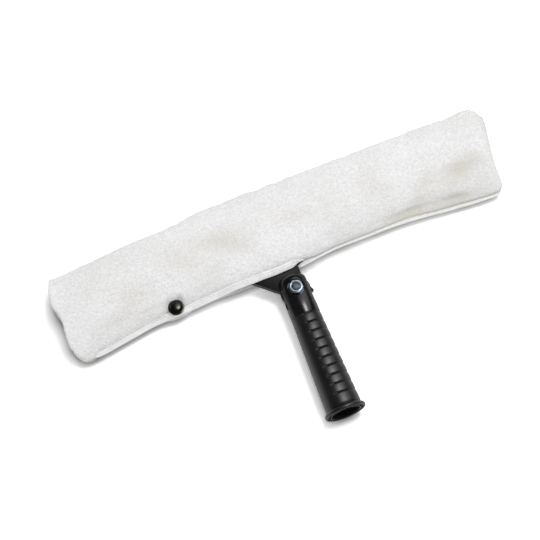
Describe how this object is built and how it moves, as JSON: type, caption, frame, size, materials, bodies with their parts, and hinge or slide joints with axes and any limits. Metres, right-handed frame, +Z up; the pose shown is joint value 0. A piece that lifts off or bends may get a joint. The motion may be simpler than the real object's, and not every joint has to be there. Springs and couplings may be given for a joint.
{
  "type": "window washer",
  "caption": "Hand window washer: moulded T-bar in a white plush sleeve with a snap, on a short black swivel handle with finger grooves and an open pole socket.",
  "frame": {"origin": "middle of the tool's footprint, on the surface it lies on", "axes": "+X along the bar to the sleeve's closed end, -Y square to the bar on the handle's side (the handle at rest is turned 2.3 degrees from it), +Z up out of the sleeve's front face"},
  "size_m": [0.367, 0.1906, 0.0324],
  "materials": {
    "plush": "short dense pile",
    "tape": "woven cotton tape",
    "handle_plastic": "polished black moulding",
    "bar_plastic": "satin black moulding",
    "grip_rubber": "satin black rubber",
    "zinc_steel": "bright zinc plate",
    "nylon": "translucent white nylon",
    "acetal": "smooth white acetal",
    "gunmetal": "dark oxidised brass look"
  },
  "bodies": {
    "sleeved_bar": {"t_bar": "bar_plastic", "sleeve_cloth": "plush", "slit_tape_root": "tape", "slit_tape_back": "tape", "edge_binding": "tape", "snap_stud": "gunmetal", "snap_post": "gunmetal"},
    "handle": {"handle_core": "handle_plastic", "rubber_grip": "grip_rubber", "pivot_bolt": "zinc_steel", "bolt_washer": "zinc_steel", "nut_washer": "zinc_steel", "lock_nut": "zinc_steel", "nylon_insert": "nylon", "pivot_bush": "zinc_steel", "friction_washer_front": "acetal", "friction_washer_back": "acetal"},
    "flap": {"sleeve_flap": "plush", "slit_tape_front": "tape", "snap_cap": "gunmetal", "snap_socket": "gunmetal"}
  },
  "joints": [
    {"name": "handle_swivel", "type": "hinge", "parent": "sleeved_bar", "child": "handle", "pos_m": [-0.005, 0.00796, 0.0162], "axis": [0, 0, 1], "range_deg": [-67.7, 47.3]},
    {"name": "flap_peel", "type": "hinge", "parent": "sleeved_bar", "child": "flap", "pos_m": [-0.021, 0.02826, 0.0327], "axis": [-0.9504, 0.3111, 0], "range_deg": [0, 75]}
  ]
}
